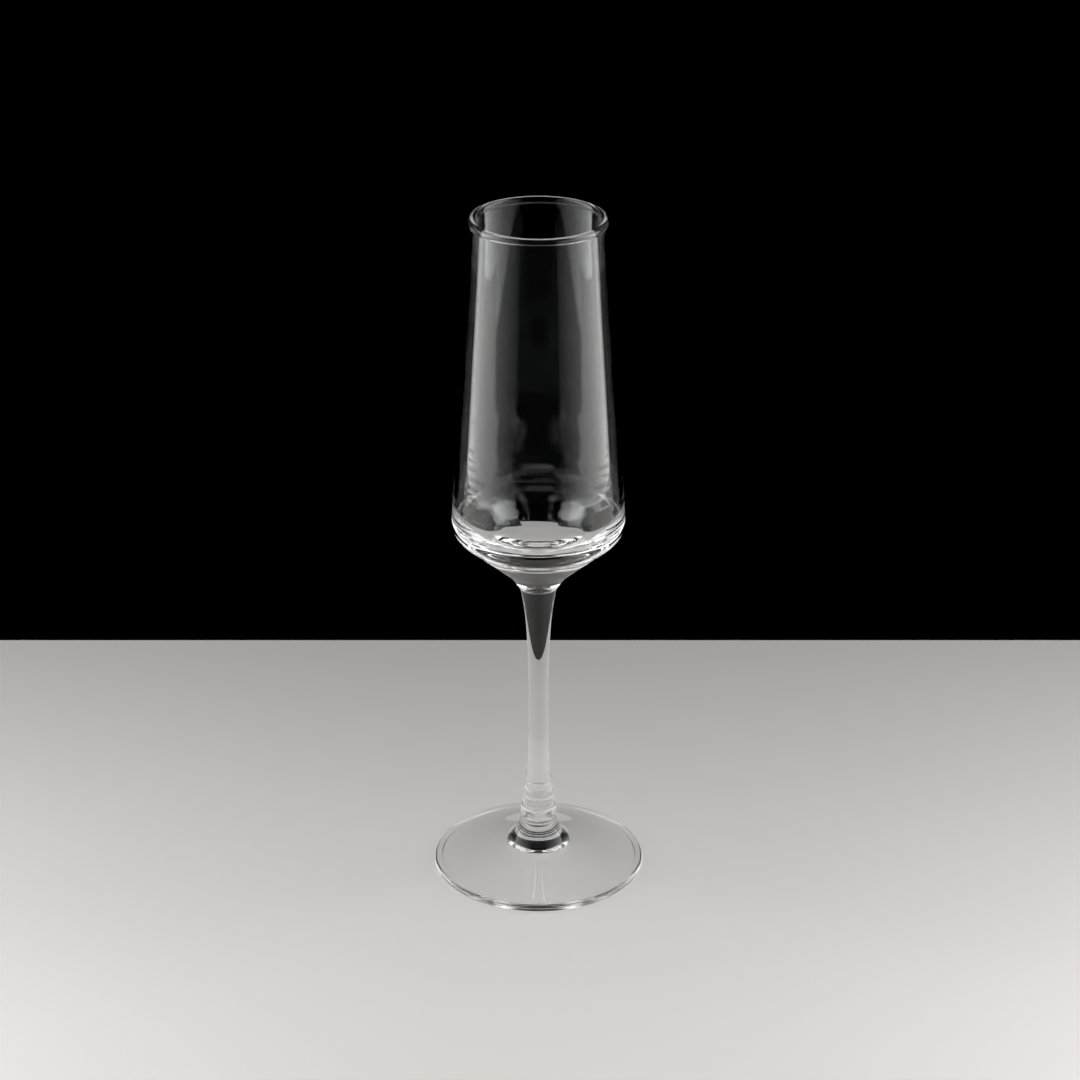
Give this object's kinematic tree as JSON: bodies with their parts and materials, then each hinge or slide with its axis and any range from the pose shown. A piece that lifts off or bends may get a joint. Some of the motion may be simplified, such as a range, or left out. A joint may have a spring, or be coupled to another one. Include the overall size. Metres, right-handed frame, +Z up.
{
  "type": "champagne flute",
  "caption": "Clear glass sparkling-wine flute: tall bowl drawn in to a beaded rim, coned lower end, slender solid stem, stepped collar and round flared foot.",
  "frame": {"origin": "centre of the ring that the foot stands on, in the plane of the table", "axes": "+Z up along the flute's axis of revolution; +X and +Y are alike, because the flute is round"},
  "size_m": [0.071, 0.071, 0.23],
  "materials": {
    "clear_glass": "clear, fire-polished"
  },
  "bodies": {
    "root": {"bowl": "clear_glass", "stem": "clear_glass", "collar": "clear_glass", "foot": "clear_glass"}
  },
  "joints": []
}
